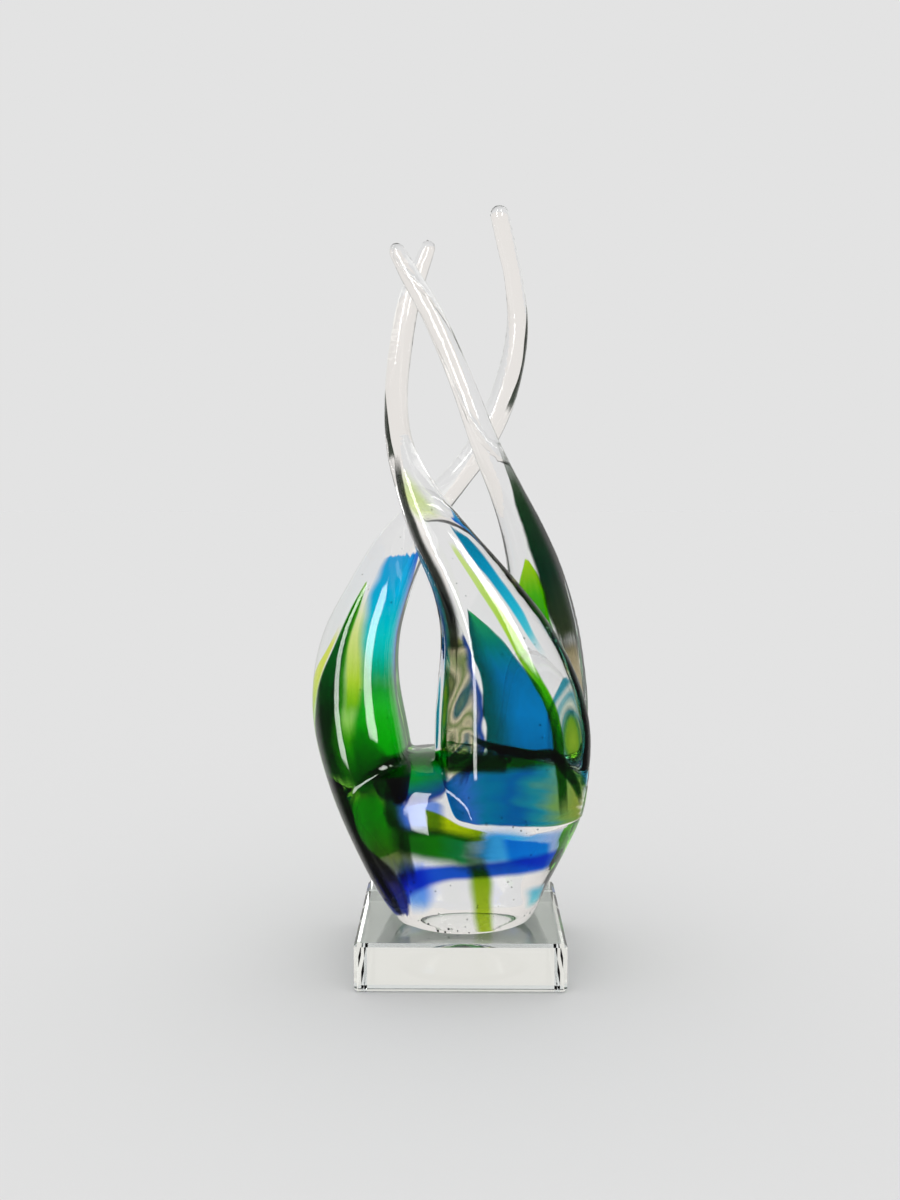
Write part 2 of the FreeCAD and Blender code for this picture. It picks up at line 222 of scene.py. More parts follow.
# Outlines of the arms where they are thick: corners as across, away, roundness
LEFT_CORNERS = [
    (-1.00, 0.00, 1.0), (-0.65, -0.95, 1.0), (0.25, -1.00, 1.0), (0.82, -0.75, 0.5),
    (1.00, 0.45, 0.5), (0.30, 1.00, 1.0), (-0.65, 0.95, 1.0),
]
FRONT_CORNERS = [
    (-1.00, 0.40, 0.4), (-0.80, -0.62, 0.5), (-0.46, -1.00, 0.35), (0.45, -1.00, 1.0),
    (1.00, -0.20, 0.8), (0.75, 0.85, 1.0), (-0.35, 1.00, 1.0),
]
RIGHT_CORNERS = [
    (-1.00, 0.10, 0.8), (-0.70, -0.85, 1.0), (0.30, -1.00, 0.35), (0.80, -0.30, 0.6),
    (1.00, 0.35, 0.4), (0.50, 1.00, 1.0), (-0.60, 0.90, 1.0),
]
ROUND_CORNERS = [(-1.0, -1.0, 1.0), (1.0, -1.0, 1.0), (1.0, 1.0, 1.0), (-1.0, 1.0, 1.0)]

# Half sizes of the pool of green between the arms, on top of the body
POOL_SIZE = (0.0112, 0.0061, 0.0003)

# Small flaws of hand-made glass: how many bubbles each part holds and how they lie, and the dark
# specks in the body as position, angle and radius
BUBBLES = {"left": 34, "front": 30, "right": 8, "body": 36}
BUBBLE_SEED = 11
BUBBLE_LEVELS = (0.05, 0.55)
BUBBLE_ANGLES = (-170, -10)
BUBBLE_DEPTHS = (0.4, 0.9)
BUBBLE_RADII = (0.00015, 0.00045)
SPECK_DEPTH = 0.93
SPECKS = [
    (0.55, -112, 0.0005), (0.42, -106, 0.0004), (0.95, -102, 0.0005), (1.15, -118, 0.0004),
    (0.50, -86, 0.0003), (0.80, -95, 0.0003),
]

# Coloured glass under the skin, with dark veils and threads of painted shade among it: home, depth,
# thickness, how far it fades in from the first and last edge, the start and the end, then its rows:
# position and angle of the first edge, and of the last
RIBBONS = {
    "green_shoulder": ("body", 0.97, 0.02, (0.1, 0.12, 0.04, 0.1), [
        (7.6, -165, 4.85, -128), (7.9, -140, 4.8, -118), (7.95, -112, 4.95, -108),
        (7.95, -80, 5.1, -98),
    ]),
    "green_leaf_left": ("left", 0.93, 0.03, (0.12, 0.22, 0.03, 0.1), [
        (7.07, -115, 7.06, -112), (6.58, -119, 6.48, -102), (5.73, -124, 5.61, -98),
        (4.88, -145, 4.85, -96), (4.1, -166, 4.09, -99), (3.6, -166, 3.57, -97),
        (3.1, -166, 3.11, -91),
    ]),
    "lime_rim_left": ("left", 0.96, 0.02, (0.05, 0.25, 0.2, 0.2), [
        (6.25, -125, 6.22, -117), (5.63, -136, 5.61, -125), (4.8, -178, 4.87, -138),
        (4.2, -172, 4.2, -166), (3.7, -172, 3.7, -169), (3.3, -166, 3.3, -166),
    ]),
    "lime_veil_left": ("left", 0.89, 0.03, (0.25, 0.45, 0.25, 0.25), [
        (6.87, -115, 6.83, -90), (6.18, -116, 6.13, -75), (5.4, -108, 5.34, -65),
        (4.73, -108, 4.65, -67), (4.26, -106, 4.22, -69),
    ]),
    "cyan_ribbon_left": ("left", 0.92, 0.03, (0.2, 0.03, 0.03, 0.22), [
        (7.59, -104, 8.02, -42), (6.93, -102, 7.2, -1), (6.22, -95, 6.5, -1),
        (5.51, -86, 5.5, -1), (4.52, -86, 4.4, -1),
    ]),
    "green_ribbon_left": ("left", 0.86, 0.03, (0.15, 0.04, 0.22, 0.08), [
        (5.71, -87, 5.6, -1), (4.92, -87, 4.7, -1), (4.27, -96, 4.1, -1),
        (3.76, -106, 3.6, -1), (3.16, -110, 3.1, -1),
    ]),
    "green_fold_left": ("left", 0.80, 0.03, (0.2, 0.2, 0.3, 0.15), [
        (4.49, -122, 4.45, -64), (3.9, -127, 3.84, -52), (3.47, -124, 3.3, -4),
        (3.01, -117, 2.8, -1),
    ]),
    "violet_patch": ("left", 0.92, 0.03, (0.12, 0.12, 0.1, 0.1), [
        (3.43, -68, 2.85, -52), (3.43, -47, 2.8, -25), (3.3, -1, 2.8, -1),
        (3.2, -1, 2.8, -1),
    ]),
    "green_tongue": ("left", 0.90, 0.03, (0.12, 0.15, 0.22, 0.1), [
        (3, -160, 3.3, -81), (2.5, -160, 2.99, -48), (2.1, -142, 2.54, -39),
        (1.84, -120, 2.16, -46),
    ]),
    "smoke_core": ("left", 0.80, 0.04, (0.06, 0.16, 0.14, 0.06), [
        (3.5, -166, 3.33, -126), (2.9, -166, 2.8, -117), (2.3, -166, 2.23, -116),
        (1.7, -166, 1.67, -74), (1, -166, 0.95, -72), (0.5, -160, 0.43, -105),
    ]),
    "blue_streak_left": ("left", 0.93, 0.02, (0.25, 0.25, 0.2, 0.2), [
        (1.63, -87, 1.63, -66), (1.24, -92, 1.18, -71), (0.77, -103, 0.75, -82),
    ]),
    "teal_core_front": ("front", 0.93, 0.03, (0.12, 0.03, 0.04, 0.05), [
        (6.57, -107, 6.64, -109), (6.02, -88, 6.05, -117), (5.46, -77, 5.46, -117),
        (4.88, -63, 4.86, -113), (4.32, -54, 4.31, -113), (3.31, -46, 3.48, -109),
    ]),
    "teal_foot_front": ("front", 0.93, 0.03, (0.1, 0.08, 0.03, 0.06), [
        (2.8, -178, 2.4, -178), (2.9, -152, 1.95, -152), (3.28, -126, 1.8, -129),
        (3.76, -106, 1.73, -108), (3.64, -78, 1.59, -76), (3.48, -51, 1.5, -46),
        (2.8, -1, 1.8, -4),
    ]),
    "green_stripe_front": ("front", 0.92, 0.03, (0.2, 0.2, 0.05, 0.1), [
        (7.92, -86, 7.93, -77), (6.71, -84, 6.73, -71), (5.46, -76, 5.52, -63),
        (4.37, -62, 4.44, -50), (3.37, -58, 3.39, -45), (2, -47, 2.01, -33),
    ]),
    "cyan_stripe_front": ("front", 0.91, 0.03, (0.15, 0.25, 0.05, 0.25), [
        (8.21, -64, 7.86, -39), (7.49, -65, 7.51, -30), (6.93, -60, 6.95, -35),
        (6.36, -59, 6.41, -39), (5.86, -56, 5.92, -45), (5.34, -47, 5.4, -39),
    ]),
    "teal_edge_front": ("front", 0.93, 0.03, (0.3, 0.05, 0.15, 0.15), [
        (6.28, -34, 6.3, -1), (5.56, -22, 5.5, -1), (4.77, -20, 4.8, -1),
        (4.01, -21, 4, -1), (3.19, -24, 3.2, -4), (2.43, -24, 2.4, -4),
    ]),
    "green_veil_front": ("front", 0.88, 0.03, (0.25, 0.25, 0.05, 0.08), [
        (3.94, -127, 3.74, -122), (3.76, -104, 3.51, -101), (3.63, -77, 3.38, -77),
        (3.6, -52, 3.32, -57), (3.04, -26, 2.85, -38), (2.4, -4, 2.2, -7),
    ]),
    "green_eye_front": ("front", 0.91, 0.03, (0.06, 0.06, 0.05, 0.05), [
        (5.07, -29, 4.9, -1), (4.54, -57, 4.4, -4), (3.83, -64, 3.7, -4),
        (3.24, -58, 3.1, -4), (2.75, -31, 2.7, -4),
    ]),
    "lime_wisp_front": ("front", 0.84, 0.03, (0.3, 0.4, 0.4, 0.3), [
        (9.51, -125, 9.44, -86), (9.1, -151, 8.98, -69), (8.72, -146, 8.5, -58),
        (8.34, -134, 8.23, -47),
    ]),
    # Painted shade: a dark grey-green veil along the front arm's left side face, for the dark edge that the
    # glass shows there
    "smoke_edge_front": ("front", 0.95, 0.03, (0.02, 0.2, 0.12, 0.1), [
        (9.74, -125, 9.69, -102), (8.9, -163, 8.82, -123), (8.1, -178, 8.01, -122),
        (7.2, -178, 7.1, -120), (6.3, -178, 6.37, -123), (5.4, -178, 5.55, -133),
    ]),
    # Painted shade: this thread and the next two are dark lines along the rims of the front, right and left
    # arms, for their thin dark outlines
    "painted_shade_thread_front": ("front", 0.95, 0.02, (0.05, 0.05, 0.12, 0.12), [
        (11.2, -160, 11.2, -157), (10.9, -178, 10.81, -137), (10.5, -178, 10.4, -127),
        (10, -149, 10, -124), (9.7, -172, 9.59, -119),
    ]),
    "painted_shade_thread_right": ("right", 0.94, 0.02, (0.05, 0.05, 0.12, 0.12), [
        (9.8, -28, 9.8, -13), (9.4, -22, 9.4, -10), (9.1, -1, 9.1, -1),
        (8.6, -1, 8.6, -1), (8.2, -10, 8.2, -1),
    ]),
    "painted_shade_thread_left": ("left", 0.94, 0.02, (0.05, 0.05, 0.12, 0.12), [
        (15.6, -1, 15.6, -1), (14.8, -1, 14.8, -1), (13.8, -4, 13.8, -1),
        (13.07, -48, 13, -1), (12.5, -47, 12.5, -1), (12.04, -61, 12, -13),
        (11.67, -64, 11.63, -40),
    ]),
    "olive_swirl_front": ("front", 0.95, 0.02, (0.02, 0.04, 0.06, 0.1), [
        (6, -178, 6.14, -123), (5, -178, 4.99, -112), (4.2, -178, 4.31, -110),
        (3.6, -178, 3.6, -111), (2.7, -178, 2.81, -126),
    ]),
    "green_leaf_right": ("right", 0.86, 0.03, (0.08, 0.08, 0.03, 0.2), [
        (5.52, -104, 5.47, -100), (4.92, -132, 4.97, -81), (4.32, -146, 4.39, -72),
        (3.79, -137, 3.89, -72), (3.33, -113, 3.4, -74),
    ]),
    # Partly painted shade: the dark strip along the right arm's right side, green glass of its own colour
    # made near black
    "green_core_right": ("right", 0.94, 0.03, (0.1, 0.04, 0.16, 0.15), [
        (8.2, -25, 8.1, -1), (7.28, -58, 7.1, -1), (6.66, -86, 6.5, -1),
        (5.68, -93, 5.5, -1), (4.69, -88, 4.6, -1), (3.76, -76, 3.7, -1),
        (2.99, -67, 2.9, -1),
    ]),
    "khaki_patch_right": ("right", 0.90, 0.03, (0.1, 0.1, 0.25, 0.25), [
        (3.52, -74, 3.5, -1), (2.87, -71, 2.8, -1), (2.28, -48, 2.2, -1),
    ]),
    "cobalt_band": ("body", 0.93, 0.03, (0.3, 0.3, 0.04, 0.06), [
        (3, -129, 1.85, -135), (3.18, -106, 2.57, -105), (3.28, -83, 2.73, -81),
        (3.34, -66, 2.77, -62), (3.41, -47, 2.75, -37), (3.4, -13, 2.8, -7),
    ]),
    "blue_patch": ("body", 0.88, 0.03, (0.2, 0.2, 0.15, 0.3), [
        (3.9, -73, 3.61, -34), (3.51, -68, 3.19, -29), (3.1, -63, 2.73, -28),
    ]),
    "green_patch": ("body", 0.90, 0.03, (0.25, 0.3, 0.2, 0.3), [
        (4.07, -132, 3.33, -134), (4.28, -116, 3.15, -119), (4.34, -102, 2.94, -103),
        (4.18, -88, 2.85, -84), (3.98, -74, 3.1, -71),
    ]),
    "lime_patch": ("body", 0.94, 0.03, (0.12, 0.12, 0.08, 0.15), [
        (4.86, -108, 4.05, -107), (4.69, -100, 3.91, -98), (4.33, -90, 3.8, -89),
        (4.1, -77, 3.84, -78),
    ]),
    "lime_stripe": ("body", 0.86, 0.03, (0.35, 0.3, 0.3, 0.03), [
        (3.64, -89, 3.57, -77), (2.93, -88, 2.84, -70), (2.28, -86, 2.19, -66),
        (0.35, -80, 0.3, -60),
    ]),
    "sky_veil": ("body", 0.84, 0.03, (0.3, 0.3, 0.15, 0.15), [
        (4.25, -92, 2.97, -86), (4.4, -69, 2.8, -62), (4.3, -50, 2.71, -34),
        (4, -15, 2.8, -10), (4.1, -7, 3.2, -7),
    ]),
    "teal_fade": ("body", 0.88, 0.03, (0.4, 0.3, 0.3, 0.5), [
        (2.49, -54, 2.4, -7), (1.96, -43, 1.9, -10), (1.5, -38, 1.45, -20),
    ]),
    "blue_fade_left": ("body", 0.90, 0.03, (0.3, 0.4, 0.2, 0.5), [
        (3.36, -129, 3.22, -102), (2.37, -135, 2.44, -104), (1.83, -135, 1.97, -109),
        (1.36, -134, 1.53, -118),
    ]),
    "lavender_fold": ("body", 0.93, 0.03, (0.15, 0.15, 0.12, 0.2), [
        (5.31, -131, 4.04, -129), (5.48, -120, 3.89, -117), (5.3, -108, 3.88, -107),
        (5.03, -97, 3.9, -96),
    ]),
    "green_depth_left": ("left", 0.86, 0.03, (0.12, 0.12, 0.25, 0.1), [
        (5.2, 25, 5.2, 155), (4.2, 20, 4.2, 160), (3.2, 20, 3.2, 160),
        (2.2, 20, 2.2, 160), (1.2, 25, 1.2, 155),
    ]),
    "green_crown": ("body", 0.95, 0.02, (0.02, 0.02, 0.25, 0.02), [
        (6.3, -176, 6.3, 176), (6.9, -176, 6.9, 176), (7.4, -176, 7.4, 176),
        (7.96, -176, 7.96, 176),
    ]),
}

# Dark threads along the rims of the arms, painted shade for the thin dark outlines there, share their colours
PAINTED_RIM_SHADE = [
    (0, (0.2, 0.22, 0.2)), (0.4, (0.06, 0.07, 0.06)), (0.7, (0.04, 0.05, 0.04)),
    (1, (0.1, 0.12, 0.1)),
]

# Its slot, what else its colour does, and its colours from the start to the end. Where there is an
# "edge", the last edge has its own colour between two shares of the width. A "swirl" has the same,
# over bent bands of its colours. A "cloudy" piece shifts its colours by clouds of the given
# strength, and "rings" lays them in rings from the middle out.
TINTS = {
    "green_shoulder": ("green_glass", ("edge", (0.01, 0.05, 0.35), 0.6, 0.95), [
        (0, (0.02, 0.45, 0)), (0.5, (0, 0.36, 0.01)), (0.85, (0, 0.22, 0.1)),
        (1, (0.02, 0.15, 0.4)),
    ]),
    "green_leaf_left": ("green_glass", ("edge", (0.05, 0.42, 0), 0.6, 0.92), [
        (0, (0.3, 0.62, 0.02)), (0.12, (0.04, 0.34, 0)), (0.32, (0, 0.11, 0.01)),
        (0.6, (0, 0.02, 0.004)), (0.85, (0, 0.03, 0.003)), (1, (0, 0.08, 0)),
    ]),
    "lime_rim_left": ("lime_glass", None, [
        (0, (0.9, 0.95, 0.25)), (0.5, (0.8, 0.9, 0.05)), (1, (0.45, 0.7, 0)),
    ]),
    "lime_veil_left": ("lime_glass", None, [
        (0, (1, 1, 0.72)), (0.3, (0.8, 0.93, 0.3)), (0.6, (0.55, 0.82, 0.05)),
        (0.85, (0.25, 0.6, 0)), (1, (0.05, 0.35, 0)),
    ]),
    "cyan_ribbon_left": ("cyan_glass", ("edge", (0, 0.15, 0.75), 0.55, 0.95), [
        (0, (0.02, 0.4, 0.85)), (0.3, (0, 0.52, 0.85)), (0.6, (0, 0.68, 0.7)),
        (0.85, (0, 0.52, 0.3)), (1, (0, 0.42, 0.08)),
    ]),
    "green_ribbon_left": ("green_glass", ("edge", (0, 0.15, 0.12), 0.7, 0.97), [
        (0, (0.1, 0.75, 0.4)), (0.25, (0.02, 0.62, 0.06)), (0.6, (0, 0.55, 0)),
        (0.85, (0, 0.36, 0)), (1, (0, 0.2, 0)),
    ]),
    "green_fold_left": ("green_glass", None, [
        (0, (0.3, 0.65, 0)), (0.35, (0.03, 0.38, 0)), (0.7, (0, 0.16, 0)),
        (1, (0, 0.1, 0.01)),
    ]),
    "violet_patch": ("violet_glass", None, [
        (0, (0, 0, 0.02)), (0.4, (0.01, 0.01, 0.05)), (0.6, (0.02, 0.03, 0.35)),
        (1, (0.04, 0.1, 0.5)),
    ]),
    "green_tongue": ("green_glass", None, [
        (0, (0.03, 0.38, 0)), (0.4, (0.02, 0.42, 0)), (1, (0.16, 0.55, 0)),
    ]),
    "smoke_core": ("smoke_glass", None, [
        (0, (0.02, 0.05, 0)), (0.3, (0.06, 0.05, 0.02)), (0.55, (0.04, 0.035, 0.03)),
        (0.8, (0.006, 0.01, 0.2)), (1, (0.01, 0.03, 0.3)),
    ]),
    "blue_streak_left": ("cobalt_glass", None, [
        (0, (0.03, 0.15, 0.8)), (0.5, (0.05, 0.3, 0.95)), (1, (0.02, 0.12, 0.7)),
    ]),
    "teal_core_front": ("teal_glass", ("edge", (0, 0.1, 0.1), 0.5, 0.95), [
        (0, (0.02, 0.4, 0.1)), (0.25, (0, 0.24, 0.18)), (0.5, (0, 0.2, 0.48)),
        (0.8, (0, 0.24, 0.62)), (1, (0, 0.16, 0.42)),
    ]),
    "teal_foot_front": ("teal_glass", ("cloudy", 0.5), [
        (0, (0, 0.1, 0.42)), (0.2, (0, 0.12, 0.36)), (0.34, (0.03, 0.16, 0.58)),
        (0.48, (0, 0.2, 0.38)), (0.6, (0, 0.12, 0.4)), (0.7, (0.01, 0.28, 0.36)),
        (0.82, (0.18, 0.38, 0.1)), (1, (0.3, 0.38, 0.04)),
    ]),
    "green_stripe_front": ("green_glass", None, [
        (0, (0.8, 0.95, 0.4)), (0.3, (0.5, 0.85, 0.05)), (0.5, (0.05, 0.5, 0)),
        (0.72, (0, 0.2, 0)), (1, (0.01, 0.12, 0)),
    ]),
    "cyan_stripe_front": ("cyan_glass", None, [
        (0, (0, 0.2, 0.35)), (0.3, (0, 0.35, 0.6)), (0.6, (0.02, 0.62, 0.85)),
        (1, (0.2, 0.8, 0.8)),
    ]),
    "teal_edge_front": ("teal_glass", None, [
        (0, (0.1, 0.55, 0.6)), (0.5, (0.03, 0.5, 0.65)), (1, (0, 0.35, 0.6)),
    ]),
    "green_veil_front": ("green_glass", None, [
        (0, (0, 0.05, 0.02)), (0.5, (0, 0.08, 0.01)), (1, (0.01, 0.12, 0.01)),
    ]),
    "green_eye_front": ("green_glass", ("rings",), [
        (0, (0.3, 0.5, 0.03)), (0.3, (0.16, 0.38, 0.02)), (0.42, (0, 0.16, 0.2)),
        (0.54, (0.72, 0.78, 0.62)), (0.7, (0.1, 0.42, 0.5)), (0.82, (0.8, 0.84, 0.76)),
        (1, (0.05, 0.35, 0.45)),
    ]),
    "lime_wisp_front": ("lime_glass", None, [
        (0, (0.92, 1, 0.7)), (0.5, (0.8, 0.94, 0.42)), (1, (0.9, 1, 0.7)),
    ]),
    # Colours of the painted shade along the front arm's left side face
    "smoke_edge_front": ("smoke_glass", None, [
        (0, (0.1, 0.11, 0.1)), (0.4, (0.035, 0.04, 0.035)), (0.8, (0.03, 0.035, 0.03)),
        (1, (0.06, 0.08, 0.03)),
    ]),
    # Colours of the three dark threads of painted shade along the arms' rims
    "painted_shade_thread_front": ("smoke_glass", None, PAINTED_RIM_SHADE),
    "painted_shade_thread_right": ("smoke_glass", None, PAINTED_RIM_SHADE),
    "painted_shade_thread_left": ("smoke_glass", None, PAINTED_RIM_SHADE),
    "olive_swirl_front": ("smoke_glass", ("swirl", (0, 0.06, 0.34), 0.82, 0.97), [
        (0, (0.03, 0.05, 0.03)), (0.16, (0.38, 0.4, 0.14)), (0.3, (0.1, 0.14, 0.05)),
        (0.44, (0.66, 0.6, 0.38)), (0.56, (0.22, 0.3, 0.1)), (0.68, (0.75, 0.66, 0.45)),
        (0.8, (0.03, 0.14, 0.16)), (1, (0.3, 0.38, 0.12)),
    ]),
    "green_leaf_right": ("green_glass", None, [
        (0, (0.5, 0.78, 0.02)), (0.4, (0.08, 0.5, 0)), (1, (0, 0.25, 0)),
    ]),
    # Green glass darkened near black: its green is the glass's own colour, its darkness painted shade
    "green_core_right": ("green_glass", None, [
        (0, (0.1, 0.14, 0.09)), (0.3, (0.01, 0.05, 0.015)), (0.6, (0, 0.03, 0.012)),
        (1, (0.05, 0.06, 0.02)),
    ]),
    "khaki_patch_right": ("smoke_glass", None, [
        (0, (0.25, 0.22, 0.1)), (0.5, (0.5, 0.42, 0.26)), (1, (0.55, 0.48, 0.32)),
    ]),
    "cobalt_band": ("cobalt_glass", None, [
        (0, (0.01, 0.08, 0.62)), (0.3, (0.01, 0.1, 0.68)), (0.55, (0.01, 0.1, 0.55)),
        (0.8, (0, 0.14, 0.75)), (1, (0.02, 0.25, 0.9)),
    ]),
    "blue_patch": ("cobalt_glass", None, [
        (0, (0, 0.38, 0.82)), (1, (0, 0.5, 0.92)),
    ]),
    "green_patch": ("green_glass", None, [
        (0, (0.01, 0.1, 0.01)), (0.5, (0.005, 0.18, 0)), (1, (0, 0.22, 0.12)),
    ]),
    "lime_patch": ("lime_glass", None, [
        (0, (0.55, 0.68, 0)), (1, (0.35, 0.52, 0)),
    ]),
    "lime_stripe": ("lime_glass", None, [
        (0, (0.04, 0.2, 0)), (0.3, (0.22, 0.42, 0)), (1, (0.45, 0.6, 0.03)),
    ]),
    "sky_veil": ("cobalt_glass", None, [
        (0, (0.02, 0.25, 0.65)), (0.35, (0.05, 0.45, 0.9)), (0.65, (0.4, 0.55, 0.95)),
        (1, (0.62, 0.62, 0.95)),
    ]),
    "teal_fade": ("cyan_glass", None, [
        (0, (0, 0.5, 0.8)), (1, (0.2, 0.8, 0.85)),
    ]),
    "blue_fade_left": ("cobalt_glass", None, [
        (0, (0.02, 0.2, 0.9)), (1, (0.3, 0.6, 1)),
    ]),
    "lavender_fold": ("cobalt_glass", None, [
        (0, (0.01, 0.05, 0.4)), (0.35, (0.05, 0.16, 0.62)), (0.6, (0.25, 0.38, 0.85)),
        (1, (0.12, 0.28, 0.75)),
    ]),
    "green_depth_left": ("green_glass", None, [
        (0, (0.8, 0.97, 0.45)), (0.35, (0.4, 0.85, 0.15)), (0.6, (0.15, 0.62, 0.02)),
        (0.8, (0.14, 0.2, 0.05)), (1, (0.08, 0.08, 0.3)),
    ]),
    "green_crown": ("green_glass", None, [
        (0, (0.02, 0.4, 0)), (0.6, (0, 0.3, 0.01)), (1, (0, 0.26, 0.04)),
    ]),
}


def on_curve(a, b, c, d, share):
    """A number on the smooth curve through b and c, with a and d as its neighbours."""
    return 0.5 * (
        2 * b + (c - a) * share + (2 * a - 5 * b + 4 * c - d) * share ** 2
        + (3 * b - a - 3 * c + d) * share ** 3
    )


def row_at(rows, position):
    """The numbers of a table of rows at a position between two of them."""
    last = len(rows) - 1
    low = min(int(position), last - 1)
    near = [rows[min(max(low + k, 0), last)] for k in (-1, 0, 1, 2)]
    return [on_curve(*numbers, position - low) for numbers in zip(*near)]


def rounded_outline(corners):
    """Points of a closed outline with rounded corners, made to fill a square of half side 1."""
    points = []
    for k in range(ROUND_POINTS):
        place = k * len(corners) / ROUND_POINTS
        i = int(place)
        share = place - i
        before, corner, after = (Vector(corners[(i + n) % len(corners)][:2]) for n in (-1, 0, 1))
        ease = corners[i][2] / 2
        first = corner.lerp(before, ease)
        last = corner.lerp(after, ease)
        points.append(first.lerp(corner, share).lerp(corner.lerp(last, share), share))
    low = [min(p[n] for p in points) for n in (0, 1)]
    high = [max(p[n] for p in points) for n in (0, 1)]
    return [Vector([2 * (p[n] - low[n]) / (high[n] - low[n]) - 1 for n in (0, 1)]) for p in points]


class Level:
    """One level of the glass: where its middle is, which way it faces and how wide it is."""

    def __init__(self, middle, along, half_width, half_thickness, outline):
        self.middle = middle
        self.along = along
        self.across = (Vector((1, 0, 0)) - along * along.x).normalized()
        self.away = along.cross(self.across)
        self.half_width = half_width
        self.half_thickness = half_thickness
        self.outline = outline

    def place(self, across, away):
        return (self.middle + self.across * (across * self.half_width)
                + self.away * (away * self.half_thickness))

    def skin(self, scale=1.0, rise=0.0):
        lift = self.along * rise
        return [self.place(p.x * scale, p.y * scale) + lift for p in self.outline]

    def inside(self, angle, depth):
        """A point under the skin: the angle is -90 at the front and 0 at the right, depth 1 is the skin."""
        ray = Vector((math.cos(math.radians(angle)), math.sin(math.radians(angle))))
        for first, last in zip(self.outline, self.outline[1:] + self.outline[:1]):
            a, b = ray.cross(first), ray.cross(last)
            if a <= 0 < b and ray.dot(first) > 0:
                skin = first.lerp(last, a / (a - b))
                return self.place(skin.x * depth, skin.y * depth)
        raise ValueError("the outline doesn't go round its middle")


class Arm:
    """An arm that turns from a rounded wedge at its foot to a round tip."""

    def __init__(self, rows, sizes, corners):
        self.rows = rows
        self.tip_radius, self.foot_width, self.foot_thickness = sizes
        self.wedge = rounded_outline(corners)

    def middle(self, position):
        across, away, height = row_at(self.rows, position)[:3]
        return Vector((across * SWAY, away * SWING, FOOT_LEVEL + height * GLASS_HEIGHT))

    def level(self, position):
        last = len(self.rows) - 1
        wide, thick = row_at(self.rows, position)[3:]
        after = self.middle(min(position + DIRECTION_STEP, last))
        route = after - self.middle(max(position - DIRECTION_STEP, 0))
        share = min(max(wide, 0), 1)
        upright = max(share, 1 - position)
        along = Vector((0, 0, upright)) + route.normalized() * (1 - upright)
        half_width = self.tip_radius + wide * (self.foot_width - self.tip_radius)
        half_thickness = self.tip_radius + thick * (self.foot_thickness - self.tip_radius)
        outline = [p.normalized().lerp(p, min(WEDGE_GROWTH * share, 1)) for p in self.wedge]
        return Level(self.middle(position), along.normalized(), half_width, half_thickness, outline)

    def rings(self):
        last = len(self.rows) - 1
        count = last * STEPS_PER_ROW
        rings = [self.level(last * k / count).skin() for k in range(count + 1)]
        tip = self.level(last)
        for k in range(1, CAP_RINGS):
            turn = math.radians(90) * k / CAP_RINGS
            rings.append(tip.skin(math.cos(turn), math.sin(turn) * self.tip_radius))
        return rings


class Body:
    """The cup-shaped body, oval at every level."""

    rows = BODY_ROWS
    outline = [p.normalized() for p in rounded_outline(ROUND_CORNERS)]

    def level(self, position):
        height, wide, deep, shift = row_at(self.rows, position)
        middle = Vector((shift * BODY_SHIFT, 0, FOOT_LEVEL + height * BODY_HEIGHT))
        return Level(middle, Vector((0, 0, 1)), wide * BODY_HALF_WIDTH, deep * BODY_HALF_DEPTH, self.outline)

    def rings(self):
        last = len(self.rows) - 1
        count = last * STEPS_PER_ROW
        return [self.level(last * k / count).skin() for k in range(count + 1)]


def tube(form, rings):
    """A closed skin through rings of points: one ring of edges, drawn out from each to the next."""
    loop = bmesh.ops.create_circle(form, segments=len(rings[0]), radius=1.0)["verts"]
    bmesh.ops.contextual_create(form, geom=loop)
    for vert, point in zip(loop, rings[0]):
        vert.co = point
    edges = [form.edges.get((loop[k], loop[(k + 1) % len(loop)])) for k in range(len(loop))]
    for ring in rings[1:]:
        made = set(bmesh.ops.extrude_edge_only(form, edges=edges)["geom"])
        drawn = {v: next(e.other_vert(v) for e in v.link_edges if e.other_vert(v) in made) for v in loop}
        loop = [drawn[v] for v in loop]
        for vert, point in zip(loop, ring):
            vert.co = point
        edges = [form.edges.get((loop[k], loop[(k + 1) % len(loop)])) for k in range(len(loop))]
    bmesh.ops.contextual_create(form, geom=edges)


def finished(name, form, inwards=False):
    """The piece made from a form, with its faces turned outwards, or inwards for a bubble."""
    bmesh.ops.recalc_face_normals(form, faces=form.faces)
    if inwards:
        bmesh.ops.reverse_faces(form, faces=form.faces)
    mesh = bpy.data.meshes.new(name)
    form.to_mesh(mesh)
    form.free()
    mesh.shade_smooth()
    piece = bpy.data.objects.new(name, mesh)
    bpy.context.scene.collection.objects.link(piece)
    return piece


def keep_modifiers(piece):
    """Keeps what the piece's modifiers make as its own mesh."""
    depsgraph = bpy.context.evaluated_depsgraph_get()
    mesh = bpy.data.meshes.new_from_object(piece.evaluated_get(depsgraph))
    piece.modifiers.clear()
    piece.data = mesh
    mesh.shade_smooth()


class Value:
    """A socket of a node tree, on which sums can be written."""

    def __init__(self, tree, socket):
        self.tree = tree
        self.socket = socket

    def sum(self, operation, *others):
        return node(self.tree, "Math", {"operation": operation}, list(others))

    def __add__(self, other):
        return self.sum("ADD", self, other)

    __radd__ = __add__

    def __sub__(self, other):
        return self.sum("SUBTRACT", self, other)

    def __rsub__(self, other):
        return self.sum("SUBTRACT", other, self)

    def __mul__(self, other):
        return self.sum("MULTIPLY", self, other)

    __rmul__ = __mul__

    def power(self, other):
        return self.sum("POWER", self, other)

    def most(self, other):
        return self.sum("MAXIMUM", self, other)

    def size(self):
        return self.sum("ABSOLUTE", self)

    def between(self, low, high):
        """0 up to low, 1 from high, and a smooth rise from one to the other."""
        return node(self.tree, "MapRange", {"interpolation_type": "SMOOTHSTEP"},
                    {"Value": self, "From Min": low, "From Max": high})


